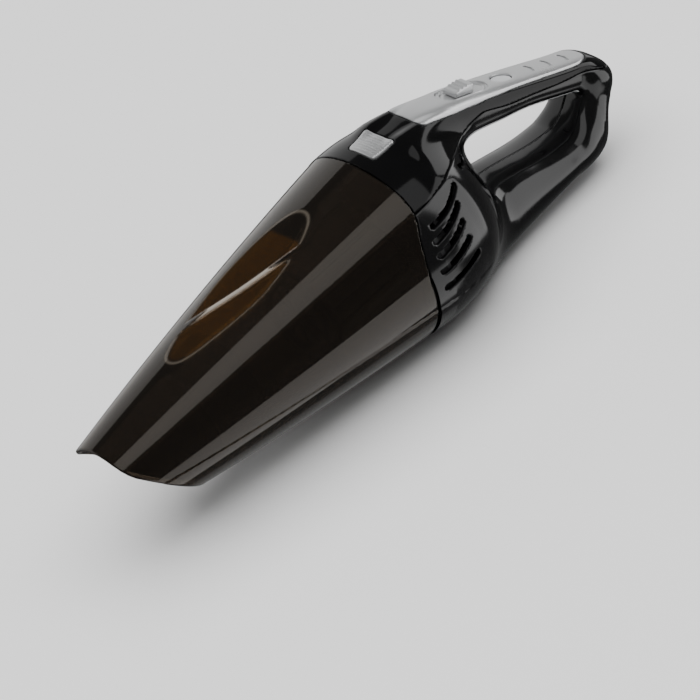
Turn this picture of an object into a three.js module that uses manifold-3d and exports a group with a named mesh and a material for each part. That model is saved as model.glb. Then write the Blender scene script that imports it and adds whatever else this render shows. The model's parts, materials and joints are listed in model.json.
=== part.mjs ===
// Cordless handheld vacuum: nozzle toward -X, handle toward +X, up is +Z, millimetres.
import * as THREE from 'three';
import { mergeVertices } from 'three/addons/utils/BufferGeometryUtils.js';
import Module from 'manifold-3d';

// ---- Driving dimensions, measured from the cup joint (x) and the motor axis (z) ----
const GAP = 0.3; // clearance between neighbouring pieces
const CUP_RADIUS = 55.2; // cup radius at its joint with the body
const CUP_TAPER = 20.5; // radius lost per 200 mm of cup
const CUP_BARREL = 7.5; // extra radius lost, growing as the square
const CUP_WALL = 2.2;
const NOZZLE_TIP_X = -212; // blunt front of the upper lip
const NOZZLE_CUT_X = -196.5; // where the slanted nozzle plane crosses the axis
const NOZZLE_SLANT = 45; // degrees between that plane and the axis
// Side view of the scoop's floor as [x, z].
const SCOOP_LINE = [[-200, 39.5], [-165, 37.2], [-147, 35.9], [-138, 36.5], [-126, 37.6], [-108, 39.3], [-90, 41.2],
  [-75, 43.6], [-60, 46.3], [-47, 48.9], [-36, 51.4], [-30, 53.5], [-10, 60]];
const BODY_WALL = 2.4;
// Side view of the cup joint as [z, x]: upright above the seam, bowed forward below it.
const JOINT = [[70, 0], [35, 0], [32, -1.2], [28, -3.7], [23, -6.6], [16, -9.2], [10, -11], [0, -12.6], [-12, -13],
  [-23, -13.3], [-35, -14.2], [-70, -15.6]];
const BARREL = [[-22, 53.3], [0, 55.5], [6, 55.7], [16, 55.4], [27, 53.6], [37, 49.5], [46, 42], [52, 34], [56, 22]];
const TOP_LINE = [[10, 52], [30, 53.8], [45, 53], [70, 45.5], [95, 34.5], [120, 23], [140, 13.6], [156, 6.6]];
const TOP_BAR_DEPTH = [[10, 24], [66, 24], [88, 21.6], [108, 18.8], [130, 18.6]];
const TOP_BAR_HALF_WIDTH = 15.5;
const SOLE_Z = -49.2; // flat sole under the battery bar
const LOWEST_Z = -55.7; // underside of the body beside the cup joint
const SEAM = [[-30, 34.7], [-5, 34.8], [12, 35.3], [24, 36], [33, 36.3], [42, 35.4], [52, 33], [62, 32],
  [72, 32.4], [80, 31.8], [87, 28.6], [93, 25.4], [113, 17.5], [135, 9], [152, 3], [160, -2], [190, -16]];
const POCKET_X = 81; // middle of the switch pocket
const LENS_X = 106.5;
const TRIM_PROUD = 0.4;
const TRIM_DEPTH = 1.2;
const MOTOR_RADIUS = 14;
const MOTOR_FRONT_X = 18.5;
const MOTOR_REAR_X = 41;
const SHAFT_RADIUS = 1.5;
const CELL_RADIUS = 9.1; // 18650 cells
const CELL_LENGTH = 65;
const CELL_Z = -36.6;
const CELL_FRONT_X = 54;
const CELL_OFFSET = 9.4; // each cell's axis from the middle plane
const CENTRE_X = 22.75; // moves the finished object's bounding box onto the origin
const SWITCH_SLOPE = 22.8; // degrees the top bar falls toward the rear at the switch
const LENS_SLOPE = 24.5;
const GRIP_SLOPE = 25;
const GRIP_LINES = [124.5, 135.5, 146.5];
const VENT_BOW = 1.6;
const PILLAR_RADIUS = 3.6; // screw pillars inside the two housings
const JACK_X = 134.4; // front of the charge jack
const JACK_Z = -34;
const LEAD_RADIUS = 0.9;
const RED_LEAD = [[41.8, 4.5, 7], [43, 5, 17], [47, 5, 30], [54, 4, 33.5], [60.3, 3, 32.5]];
const BLACK_LEAD = [[41.8, -5, -7], [44, -6, -13], [50, -6, -17.5], [56, -8, -20], [62, -8, -22]];
const CHARGE_LEAD = [[133.6, 0, -34], [130, 0, -32.8], [126, 0, -33.4], [121.5, 0, -35]];
const FLANGE_RADIUS = 40; // filter flange, gasket and fan housing
// Vent slots: upper and lower end of each in side view.
const VENTS = [[[31, 31.2], [2, 25.4], 2.2], [[25, 24.8], [-1.5, 18.4], 2.6], [[21.5, 17], [-3.2, 10.6], 2.9],
  [[20.5, 7.4], [-5.4, 1.8], 3.2], [[22.5, -4.2], [-6.6, -8.6], 3.4], [[50, 29.8], [41, 32], 2.4]];
// Housing screws in side view.
const SCREWS = [[20, -46], [50, -30], [51, 22.5], [137, -24.5], [97, 20], [130, 6.2]];

const wasm = await Module();
wasm.setup();

// ---- Solid helpers ----
function volumeOf(geometry) {
  const p = geometry.attributes.position;
  const a = new THREE.Vector3();
  const b = new THREE.Vector3();
  const c = new THREE.Vector3();
  let sum = 0;
  for (let i = 0; i < geometry.index.count; i += 3) {
    a.fromBufferAttribute(p, geometry.index.getX(i));
    b.fromBufferAttribute(p, geometry.index.getX(i + 1));
    c.fromBufferAttribute(p, geometry.index.getX(i + 2));
    sum += a.dot(b.cross(c)) / 6;
  }
  return sum;
}

function toSolid(geometry) {
  geometry.deleteAttribute('normal');
  geometry.deleteAttribute('uv');
  const merged = mergeVertices(geometry, 1e-4);
  const triangles = Uint32Array.from(merged.index.array);
  if (volumeOf(merged) < 0) {
    for (let i = 0; i < triangles.length; i += 3) {
      [triangles[i], triangles[i + 1]] = [triangles[i + 1], triangles[i]];
    }
  }
  const vertProperties = Float32Array.from(merged.attributes.position.array);
  return new wasm.Manifold(new wasm.Mesh({ numProp: 3, vertProperties, triVerts: triangles }));
}

function toGeometry(solid) {
  const mesh = solid.getMesh();
  const geometry = new THREE.BufferGeometry();
  geometry.setAttribute('position', new THREE.BufferAttribute(Float32Array.from(mesh.vertProperties), 3));
  geometry.setIndex(new THREE.BufferAttribute(Uint32Array.from(mesh.triVerts), 1));
  geometry.computeVertexNormals();
  return geometry;
}

function unite(solids) {
  return solids.reduce((sum, solid) => sum.add(solid));
}

function cut(solid, cutters) {
  return cutters.reduce((left, cutter) => left.subtract(cutter), solid);
}

// Joins closed rings of points into a capped solid.
function loft(rings) {
  const count = rings[0].length;
  const positions = rings.flat().flatMap((p) => [p.x, p.y, p.z]);
  const index = [];
  for (let r = 0; r < rings.length - 1; r += 1) {
    for (let i = 0; i < count; i += 1) {
      const a = r * count + i;
      const b = r * count + ((i + 1) % count);
      index.push(a, b, a + count, b, b + count, a + count);
    }
  }
  for (const [ring, flip] of [[0, false], [rings.length - 1, true]]) {
    const centre = new THREE.Vector3();
    rings[ring].forEach((p) => centre.addScaledVector(p, 1 / count));
    const tip = positions.length / 3;
    positions.push(centre.x, centre.y, centre.z);
    for (let i = 0; i < count; i += 1) {
      const a = ring * count + i;
      const b = ring * count + ((i + 1) % count);
      index.push(...(flip ? [a, b, tip] : [b, a, tip]));
    }
  }
  const geometry = new THREE.BufferGeometry();
  geometry.setAttribute('position', new THREE.Float32BufferAttribute(positions, 3));
  geometry.setIndex(index);
  return toSolid(geometry);
}

// Rounded-box section: power 2 is an ellipse, larger powers are squarer.
function section(halfWidth, halfHeight, power, count, place) {
  const ring = [];
  for (let i = 0; i < count; i += 1) {
    const angle = (2 * Math.PI * (i + 0.5)) / count;
    const c = Math.cos(angle);
    const s = Math.sin(angle);
    const v = Math.sign(c) * Math.abs(c) ** (2 / power) * halfWidth;
    const w = Math.sign(s) * Math.abs(s) ** (2 / power) * halfHeight;
    ring.push(place(v, w));
  }
  return ring;
}

// Smooth curve through a list of [x, value] pairs, straight beyond its ends.
function along(points, x) {
  const slope = (i, j) => (points[j][1] - points[i][1]) / (points[j][0] - points[i][0]);
  const last = points.length - 1;
  let i = 0;
  while (i < last - 1 && x > points[i + 1][0]) {
    i += 1;
  }
  const length = points[i + 1][0] - points[i][0];
  const t = THREE.MathUtils.clamp((x - points[i][0]) / length, 0, 1);
  const start = slope(Math.max(i - 1, 0), i + 1) * length;
  const end = slope(i, Math.min(i + 2, last)) * length;
  const blend = t * t * (3 - 2 * t);
  const value = points[i][1] + (points[i + 1][1] - points[i][1]) * blend;
  return value + start * t * (1 - t) * (1 - t) - end * t * t * (1 - t);
}

// Turned shape about the X axis from [x, radius] pairs that start and end on the axis.
function turned(profile, segments = 32, y = 0, z = 0) {
  const points = profile.map(([x, radius]) => new THREE.Vector2(radius, x));
  const geometry = new THREE.LatheGeometry(points, segments);
  geometry.rotateZ(-Math.PI / 2);
  geometry.translate(0, y, z);
  return toSolid(geometry);
}

function rodX(x0, x1, radius, y = 0, z = 0, segments = 32) {
  return turned([[x0, 0], [x0, radius], [x1, radius], [x1, 0]], segments, y, z);
}

function ringX(x0, x1, outer, inner, segments = 32, y = 0, z = 0) {
  return turned([[x0, inner], [x0, outer], [x1, outer], [x1, inner], [x0, inner]], segments, y, z);
}

function ringZ(z0, z1, outer, inner, x, segments) {
  const profile = [[inner, z0], [outer, z0], [outer, z1], [inner, z1], [inner, z0]];
  const geometry = new THREE.LatheGeometry(profile.map((point) => new THREE.Vector2(...point)), segments);
  geometry.rotateX(Math.PI / 2);
  geometry.translate(x, 0, 0);
  return toSolid(geometry);
}

function rodY(y0, y1, radius, x, z, segments = 20) {
  const geometry = new THREE.CylinderGeometry(radius, radius, y1 - y0, segments);
  geometry.translate(x, (y0 + y1) / 2, z);
  return toSolid(geometry);
}

// Turn about the X axis.
function spin(degrees) {
  return new THREE.Matrix4().makeRotationX(THREE.MathUtils.degToRad(degrees));
}

// Turn about an axis parallel to Y through the point (x, z).
function tilt(x, z, degrees) {
  return new THREE.Matrix4().makeRotationY(THREE.MathUtils.degToRad(degrees)).setPosition(x, 0, z);
}

function block(x0, x1, y0, y1, z0, z1, pose = spin(0)) {
  const geometry = new THREE.BoxGeometry(x1 - x0, y1 - y0, z1 - z0);
  geometry.translate((x0 + x1) / 2, (y0 + y1) / 2, (z0 + z1) / 2);
  geometry.applyMatrix4(pose);
  return toSolid(geometry);
}

// Prism with a side-view outline of [x, z] points, running from y0 to y1.
function prismY(outline, y0, y1, pose = spin(0)) {
  const shape = new THREE.Shape(outline.map(([x, z]) => new THREE.Vector2(x, z)));
  const geometry = new THREE.ExtrudeGeometry(shape, { depth: y1 - y0, bevelEnabled: false });
  geometry.rotateX(Math.PI / 2);
  geometry.translate(0, y1, 0);
  geometry.applyMatrix4(pose);
  return toSolid(geometry);
}

// Prism with a plan-view shape in x and y, running from z0 to z1.
function prismZ(shape, z0, z1, pose = spin(0)) {
  const geometry = new THREE.ExtrudeGeometry(shape, { depth: z1 - z0, bevelEnabled: false, curveSegments: 10 });
  geometry.translate(0, 0, z0);
  geometry.applyMatrix4(pose);
  return toSolid(geometry);
}

function tube(points, radius) {
  const path = new THREE.CatmullRomCurve3(points.map((p) => new THREE.Vector3(...p)));
  const shape = new THREE.Shape();
  shape.absarc(0, 0, radius, 0, 2 * Math.PI, false);
  return toSolid(new THREE.ExtrudeGeometry(shape, {
    extrudePath: path, steps: 12, curveSegments: 3, bevelEnabled: false,
  }));
}

// ---- Outer shapes ----
function cupRadius(x) {
  const u = -x / 200;
  return CUP_RADIUS - CUP_TAPER * u - CUP_BARREL * u * u;
}

function cupBlank(inset) {
  const profile = [[8, 0]];
  for (let i = 0; i <= 9; i += 1) {
    const x = 8 - (i * 238) / 9;
    profile.push([x, cupRadius(x) - inset]);
  }
  profile.push([-230, 0]);
  return turned(profile, 40);
}

// Everything in front of the slanted nozzle plane, moved by offset along its normal.
function nozzleCutter(offset) {
  const geometry = new THREE.BoxGeometry(200, 200, 200);
  geometry.translate(-100 - offset, 0, 0);
  geometry.rotateY(-THREE.MathUtils.degToRad(90 - NOZZLE_SLANT));
  geometry.translate(NOZZLE_CUT_X, 0, 0);
  return toSolid(geometry).add(block(-300, NOZZLE_TIP_X - offset, -60, 60, -60, 60));
}

// Everything behind the joint (side 1) or in front of it (side -1).
function jointCutter(side) {
  const outline = JOINT.map(([z, x]) => [x - (side * GAP) / 2, z]);
  return prismY([...outline, [side * 300, -70], [side * 300, 70]], -100, 100);
}

// Everything above the floor of the scoop, lowered by drop.
function scoopCutter(drop) {
  const outline = SCOOP_LINE.map(([x, z]) => [x, z - drop]);
  return prismY([...outline, [-10, 90], [-200, 90]], -40, 40);
}

function topLine(x) {
  return along(TOP_LINE, x);
}

// Places something built level about the origin onto the sloping top of the bar.
function onBar(x, degrees) {
  return tilt(x, topLine(x), degrees);
}

function topBar(inset) {
  const rings = [];
  for (const x of [12, 30, 45, 57, 70, 82, 95, 120, 142, 152, 159, 163]) {
    const reach = Math.max(0, x - 148) / 15;
    const squeeze = 1 - 0.3 * reach * reach;
    const depth = along(TOP_BAR_DEPTH, x);
    const halfHeight = depth / 2 - inset;
    const halfWidth = (TOP_BAR_HALF_WIDTH - 0.02 * Math.max(0, x - 60)) * squeeze - inset;
    const middle = topLine(x) - depth / 2;
    const stop = x === 163 ? inset : 0;
    rings.push(section(halfWidth, halfHeight, 3, 24, (v, w) => new THREE.Vector3(x - stop, v, middle + w)));
  }
  return loft(rings);
}

function lowerBar(inset) {
  const rings = [];
  const stations = [[20, 23, -12, -51.5], [42, 25, -11.5, -51.2], [60, 25, -11.2, -51], [75, 23.6, -12.1, -50],
    [88, 22.5, -14.8, -49], [102, 21.8, -18.3, -47.6], [123, 21, -21.1, -45.7], [132, 19.6, -20.8, -45.4],
    [140, 17, -20.3, -44.6], [146, 14, -22, -42.5]];
  for (const [x, halfWidth, top, foot] of stations) {
    const halfHeight = (top - foot) / 2;
    const middle = (top + foot) / 2;
    const stop = x === 146 ? inset : 0;
    const place = (v, w) => new THREE.Vector3(x - stop, v, middle + w);
    rings.push(section(halfWidth - inset, halfHeight - inset, 3, 24, place));
  }
  return loft(rings);
}

// Rear upright that joins the two bars behind the fingers, leaning back toward the top.
function rearUpright(inset) {
  const rings = [];
  const stations = [[-45, 120, 137.5, 11.5], [-40, 121, 144.5, 14], [-28, 127, 154, 15.5], [-13, 137, 164, 15],
    [-5, 145, 166.5, 14], [1, 149, 166.5, 12.8], [4.5, 150.5, 161, 10.5]];
  stations.forEach(([z, front, rear, halfWidth], i) => {
    const middle = (front + rear) / 2;
    const halfLength = (rear - front) / 2 - inset;
    const end = i === 0 ? inset : i === stations.length - 1 ? -inset : 0;
    const place = (v, w) => new THREE.Vector3(middle + w, v, z + end);
    rings.push(section(halfWidth - inset, halfLength, 3, 24, place));
  });
  return loft(rings);
}

function barrel(inset) {
  const profile = [[BARREL[0][0], 0]];
  BARREL.forEach(([x, radius]) => profile.push([x - 0.55 * inset * (x > 30 ? 1 : 0), radius - inset]));
  profile.push([59 - inset, 8], [59.4 - inset, 0]);
  return turned(profile, 36);
}

function bodyBlank(inset) {
  const whole = unite([barrel(inset), topBar(inset), lowerBar(inset), rearUpright(inset)]);
  const sole = block(62, 200, -80, 80, -90, SOLE_Z + inset);
  return whole.subtract(sole);
}

// ---- Dust cup and filter ----
function dustCup() {
  const inside = cut(cupBlank(CUP_WALL).add(rodX(4, 12, 50, 0, 0, 40)), [scoopCutter(CUP_WALL)]);
  const catchRib = block(-9, -6.2, -7, 7, 49.6, 54);
  const shell = cut(cupBlank(0), [inside, scoopCutter(0), nozzleCutter(0), jointCutter(1)]);
  return shell.add(catchRib.intersect(cupBlank(0.4)));
}

// Short tapered duct that carries dust from the nozzle past the rim of the cup.
function inletDuct() {
  const outer = [];
  const inner = [];
  for (const x of [-215, -150, -120]) {
    const radius = cupRadius(x) - CUP_WALL - GAP - (x + 215) * 0.08;
    const place = (v, w) => new THREE.Vector3(x, v, w);
    outer.push(section(radius, radius, 2, 32, place));
    const placeInner = (v, w) => new THREE.Vector3(x * 1.01 + 1.2, v, w);
    inner.push(section(radius - 1.6, radius - 1.6, 2, 32, placeInner));
  }
  const flange = turned([[-153, 0], [-153, cupRadius(-153) - CUP_WALL - 0.4],
    [-150, cupRadius(-150) - CUP_WALL - 0.8], [-150, 0]], 32);
  const hole = loft(inner);
  const keel = scoopCutter(CUP_WALL + GAP);
  const slant = nozzleCutter(-2.5);
  return cut(loft(outer).add(flange), [hole, slant, keel]);
}

function filterFrame() {
  const flange = ringX(-4.4, -1.6, FLANGE_RADIUS, 22);
  const cage = [];
  for (let i = 0; i < 6; i += 1) {
    cage.push(block(-62, -3, -1.2, 1.2, 28.6, 30.4, spin(i * 60 + 30)));
  }
  const nose = ringX(-64.5, -61.5, 30.4, 21);
  return unite([flange, nose, ...cage]);
}

function pleatedFilter() {
  const shape = new THREE.Shape();
  const hole = new THREE.Path();
  const pleats = 18;
  for (let i = 0; i <= pleats * 2; i += 1) {
    const angle = (i * Math.PI) / pleats;
    const radius = i % 2 ? 27.8 : 22.6;
    const y = Math.cos(angle) * radius;
    const z = Math.sin(angle) * radius;
    if (i === 0) {
      shape.moveTo(y, z);
      hole.moveTo((y * (radius - 2)) / radius, (z * (radius - 2)) / radius);
    } else if (i < pleats * 2) {
      shape.lineTo(y, z);
      hole.lineTo((y * (radius - 2)) / radius, (z * (radius - 2)) / radius);
    }
  }
  shape.holes.push(hole);
  const geometry = new THREE.ExtrudeGeometry(shape, { depth: 56, bevelEnabled: false });
  geometry.rotateY(-Math.PI / 2);
  geometry.translate(-4.8, 0, 0);
  return toSolid(geometry);
}

// Domed screen over the front of the filter, slotted in rings.
function filterMesh() {
  const dome = turned([[-64.8, 0], [-64.6, 20.6], [-62.8, 20.6], [-63, 0]], 32);
  const slots = [];
  for (let i = 0; i < 10; i += 1) {
    slots.push(block(-68, -60, -1.1, 1.1, 6, 18.5, spin(i * 36)));
  }
  return cut(dome, slots);
}

function filterGasket() {
  return ringX(-1.3, -0.25, FLANGE_RADIUS, 35.5, 32);
}

// ---- Body shells ----
function seamPrism(drop) {
  const outline = SEAM.map(([x, z]) => [x, z - drop]);
  return prismY([...outline, [190, 90], [-30, 90]], -80, 80);
}

function trimShape(grow) {
  const shape = new THREE.Shape();
  const nose = 10 + grow;
  shape.moveTo(42 - grow, -13.6 - grow);
  shape.lineTo(70, -13.2 - grow);
  shape.quadraticCurveTo(110, -11.6 - grow, 146.5, -nose);
  shape.absellipse(146.5, 0, nose + 1.5, nose, -Math.PI / 2, Math.PI / 2, false);
  shape.quadraticCurveTo(110, 11.6 + grow, 70, 13.2 + grow);
  shape.lineTo(42 - grow, 13.6 + grow);
  shape.closePath();
  return shape;
}

// Skin of the top bar between two depths below its surface, inside the trim outline.
function trimSkin(grow, top, bottom) {
  const skin = topBar(-top).subtract(topBar(bottom));
  return skin.intersect(prismZ(trimShape(grow), -5, 80)).intersect(seamPrism(-2));
}

function switchPocket(grow) {
  const shape = new THREE.Shape();
  shape.absarc(-8.5, 0, 7.5 + grow, Math.PI / 2, (3 * Math.PI) / 2, false);
  shape.absarc(8.5, 0, 7.5 + grow, -Math.PI / 2, Math.PI / 2, false);
  return prismZ(shape, -7.2, 8, onBar(POCKET_X, SWITCH_SLOPE));
}

function ovalShape(grow) {
  const shape = new THREE.Shape();
  shape.absellipse(0, 0, 6.2 + grow, 4.7 + grow, 0, 2 * Math.PI, false);
  return shape;
}

function lensHole(grow) {
  return prismZ(ovalShape(grow), -5, 6, onBar(LENS_X, LENS_SLOPE));
}

function handleTrim() {
  const skin = trimSkin(0, TRIM_PROUD, TRIM_DEPTH);
  const grips = GRIP_LINES.map((x) => block(-0.5, 0.5, -4.6, 4.6, -0.5, 3, onBar(x, GRIP_SLOPE)));
  return cut(skin, [switchPocket(0.4), lensHole(0.3), ...grips]);
}

function buttonShape(grow) {
  const shape = new THREE.Shape();
  const front = 10 + grow;
  const rear = 11.5 + grow;
  shape.moveTo(8.5 - grow, -front);
  shape.lineTo(24.5 + grow, -rear);
  shape.lineTo(24.5 + grow, rear);
  shape.lineTo(8.5 - grow, front);
  shape.closePath();
  return shape;
}

// A curved vent: a bar swept along a slanted, bowed line in side view, cut through one wall.
function ventCutter(upper, lower, width, side) {
  const [xu, zu] = upper;
  const [xl, zl] = lower;
  const outline = [];
  const normal = new THREE.Vector2(-(zu - zl), xu - xl).normalize();
  for (const edge of [1, -1]) {
    for (let i = 0; i <= 4; i += 1) {
      const t = edge > 0 ? i / 4 : 1 - i / 4;
      const shift = (edge * width) / 2 - VENT_BOW * 4 * t * (1 - t);
      outline.push([xl + (xu - xl) * t + normal.x * shift, zl + (zu - zl) * t + normal.y * shift]);
    }
  }
  return side < 0 ? prismY(outline, -70, -24) : prismY(outline, 24, 70);
}

function pillar(side, x, z) {
  return side < 0 ? rodY(-60, -GAP / 2, PILLAR_RADIUS, x, z) : rodY(GAP / 2, 60, PILLAR_RADIUS, x, z);
}

function screwHole(side, x, z) {
  if (side < 0) {
    return [rodY(-9.5, 1, 1.5, x, z, 12)];
  }
  return [rodY(-1, 70, 1.6, x, z, 12), rodY(7, 70, 3.0, x, z, 16)];
}

function cellSpaces() {
  const rear = CELL_FRONT_X + CELL_LENGTH + 1.5;
  return [-1, 1].map((side) => rodX(CELL_FRONT_X - 1, rear, CELL_RADIUS + GAP, side * CELL_OFFSET, CELL_Z, 28));
}

function jackSpace(grow) {
  return rodX(JACK_X - 0.4 - grow, 175, 4.6 + grow, 0, JACK_Z, 24);
}

function sideHousing(side, outer, middle, inner) {
  const half = side < 0 ? block(-40, 200, -80, -GAP / 2, -80, 80) : block(-40, 200, GAP / 2, 80, -80, 80);
  const posts = unite(SCREWS.map(([x, z]) => pillar(side, x, z))).intersect(middle);
  const shell = outer.subtract(inner).add(posts).intersect(half).subtract(seamPrism(GAP));
  const vents = VENTS.map(([upper, lower, width]) => ventCutter(upper, lower, width, side));
  const holes = SCREWS.flatMap(([x, z]) => screwHole(side, x, z));
  return cut(shell, [...vents, ...holes, ...cellSpaces(), jackSpace(0.3)]);
}

function upperShell(outer, inner) {
  const shell = outer.subtract(inner).intersect(seamPrism(0));
  const recess = trimSkin(0.3, 6, TRIM_DEPTH + GAP);
  const posts = SCREWS.map(([x, z]) => rodY(-70, 70, 4, x, z));
  return cut(shell, [recess, prismZ(buttonShape(0.3), 30, 70), switchPocket(-1.2), lensHole(0.3), ...posts]);
}

// ---- Button, switch and electrics ----
function releaseButton() {
  const cap = prismZ(buttonShape(0), 46.5, 60).intersect(topBar(-0.9).add(barrel(-0.9)));
  const grooves = [12.5, 14.5, 16.5, 18.5, 20.5].map((x) => block(x - 0.35, x + 0.35, -8, 8, 55.1, 60));
  const stem = block(12, 23.4, -5, 5, 43.8, 47);
  const arm = block(-3, 13, -4, 4, 43.8, 46);
  const hook = prismY([[-5.4, 43.8], [-2.8, 43.8], [-2.8, 49.2], [-5.4, 47.4]], -4, 4);
  return cut(unite([cap, stem, arm, hook]), grooves);
}

function releaseSpring() {
  return ringZ(36.9, 43.3, 3.4, 2.4, 19.4, 16);
}

function switchKnob() {
  const outline = [[-6.4, -1.4], [6.4, -1.4], [6.4, 2.4], [3.6, 4.4], [2.4, 3.5], [1.2, 4.7], [0, 3.7],
    [-1.2, 4.7], [-2.4, 3.5], [-4, 3.2], [-6.4, 0.4]];
  const pose = onBar(POCKET_X - 2, SWITCH_SLOPE);
  const cap = prismY(outline, -5.2, 5.2, pose);
  return cap.add(block(-2, 2, -2, 2, -7.6, -1, pose));
}

function switchBody() {
  const pose = onBar(POCKET_X, SWITCH_SLOPE);
  const body = block(-9, 9, -6.5, 6.5, -15, -8.2, pose);
  return cut(body, [block(-6.6, 6.6, -2.4, 2.4, -9.2, -7, pose)]);
}

function indicatorLens() {
  const pose = onBar(LENS_X, LENS_SLOPE);
  return prismZ(ovalShape(0), -3.6, -0.4, pose);
}

function controlBoard() {
  return block(-10, 16, -8.5, 8.5, -8.4, -6.8, onBar(LENS_X, LENS_SLOPE));
}

// ---- Motor and fan ----
function bulkhead() {
  const disc = turned([[0.5, 0], [0.5, 52.6], [3, 52.6], [3, 0]], 40);
  const spigot = turned([[-18, 49], [-18, 50.6], [0.6, 52.2], [0.6, 50.3], [-18, 49]], 40);
  const slots = [];
  for (let i = 0; i < 12; i += 1) {
    slots.push(block(-1, 4, -2, 2, 9, 33, spin(i * 30)));
  }
  const armNotch = block(-20, 4, -7.5, 7.5, 40.2, 56);
  return cut(disc.add(spigot), [...slots, armNotch]);
}

function fanHousing() {
  const wall = ringX(3.4, 15, FLANGE_RADIUS, 38.2, 32);
  const back = ringX(13.4, 15, 38.6, 14.4, 32);
  const seat = block(13.6, 24, -4.5, 4.5, 35, 36.6);
  const ports = [];
  for (let i = 0; i < 8; i += 1) {
    ports.push(block(4.8, 12.2, -6, 6, 30, 45, spin(i * 45 + 22.5)));
  }
  return cut(unite([wall, back, seat]), ports);
}

function impeller() {
  const disc = turned([[11.2, 0], [11.2, 34], [12.4, 34], [12.4, 0]], 32);
  const hub = rodX(6, 12, 5.5, 0, 0, 20);
  const blades = [];
  for (let i = 0; i < 9; i += 1) {
    const lean = spin(25).setPosition(0, 2.6, 4.6);
    blades.push(block(5, 11.6, -0.7, 0.7, 0, 28, spin(i * 40).multiply(lean)));
  }
  return cut(unite([disc, hub, ...blades]), [rodX(0, 20, SHAFT_RADIUS + 0.1, 0, 0, 20)]);
}

function impellerNut() {
  return cut(rodX(3.6, 5.8, 3.6, 0, 0, 6), [rodX(3, 7, SHAFT_RADIUS + 0.1, 0, 0, 20)]);
}

function motorShaft() {
  return rodX(3.8, 43, SHAFT_RADIUS, 0, 0, 20);
}

function motorCan() {
  const wall = ringX(MOTOR_FRONT_X, MOTOR_REAR_X - 3, MOTOR_RADIUS, MOTOR_RADIUS - 1, 32);
  const front = ringX(MOTOR_FRONT_X, MOTOR_FRONT_X + 1.2, MOTOR_RADIUS, 4.3, 32);
  return wall.add(front);
}

function motorEndbell() {
  return ringX(MOTOR_REAR_X - 2.6, MOTOR_REAR_X, MOTOR_RADIUS, 4.3, 32);
}

function bearing(x) {
  return ringX(x, x + 2.6, 4, SHAFT_RADIUS + 0.1, 20);
}

function rotorCore() {
  const slots = [0, 1, 2].map((i) => block(20, 34, -1.4, 1.4, 5, 13, spin(i * 120)));
  return cut(ringX(22.4, 32, 11, SHAFT_RADIUS + 0.1, 30), slots);
}

function commutator() {
  return ringX(32.6, 36.6, 4, SHAFT_RADIUS + 0.1, 20);
}

function brush(side) {
  return side < 0 ? block(33.4, 35.8, -9.5, -4.3, -1.2, 1.2) : block(33.4, 35.8, 4.3, 9.5, -1.2, 1.2);
}

function motorMount(x) {
  const ring = ringX(x, x + 3, 17, MOTOR_RADIUS + GAP, 32);
  const arms = [-1, 1].map((side) => block(x, x + 3, side > 0 ? 16 : -37, side > 0 ? 37 : -16, -2.5, 2.5));
  return unite([ring, ...arms]);
}

// ---- Battery and charging ----
function batteryCell(side) {
  const rear = CELL_FRONT_X + CELL_LENGTH;
  return turned([[CELL_FRONT_X, 0], [CELL_FRONT_X, CELL_RADIUS], [rear - 1.5, CELL_RADIUS], [rear - 1.5, 3],
    [rear, 3], [rear, 0]], 28, side * CELL_OFFSET, CELL_Z);
}

function batteryCradle() {
  const plate = block(CELL_FRONT_X + 4, CELL_FRONT_X + CELL_LENGTH - 4, -14.5, 14.5, -32.5, -25.2);
  return cut(plate, cellSpaces());
}

function batteryLink() {
  const rear = CELL_FRONT_X + CELL_LENGTH;
  return block(rear + 0.3, rear + 0.8, -13, 13, CELL_Z - 3, CELL_Z + 3);
}

function chargeJack() {
  const body = ringX(JACK_X, 151.5, 4.4, 2.9, 24, 0, JACK_Z);
  const back = rodX(JACK_X, 136, 4.2, 0, JACK_Z, 24);
  const pin = rodX(JACK_X + 0.6, 148, 0.8, 0, JACK_Z, 12);
  return unite([body, back, pin]);
}

function wire(points) {
  return tube(points, LEAD_RADIUS);
}

function screw(x, z) {
  const profile = [[-8.5, 0], [-8.2, 0.8], [-7.6, 1.2], [7.3, 1.2], [7.3, 2.7], [8.6, 2.5], [9.2, 1.2],
    [9.2, 0]];
  const geometry = new THREE.LatheGeometry(profile.map(([y, radius]) => new THREE.Vector2(radius, y)), 12);
  geometry.translate(x, 0, z);
  const slots = [0, 90].map((angle) => block(-2, 2, 8.2, 12, -0.3, 0.3, tilt(x, z, angle)));
  return cut(toSolid(geometry), slots);
}

// ---- Assembly ----
const group = new THREE.Group();

function addPart(name, solid, color, roughness, metalness = 0) {
  const material = new THREE.MeshStandardMaterial({ color, roughness, metalness });
  material.name = `${name}_finish`;
  const mesh = new THREE.Mesh(toGeometry(solid), material);
  mesh.name = name;
  mesh.position.set(CENTRE_X, 0, -LOWEST_Z);
  group.add(mesh);
}

const BLACK_GLOSS = 0x0b0b0c;
const SILVER = 0xbfc1c4;
const SMOKE = 0x1a1613;
const STEEL = 0x9a9da1;
const COPPER = 0xb06a3a;

const outer = bodyBlank(0).subtract(jointCutter(-1));
const middle = bodyBlank(1.2);
const inner = bodyBlank(BODY_WALL);

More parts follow.
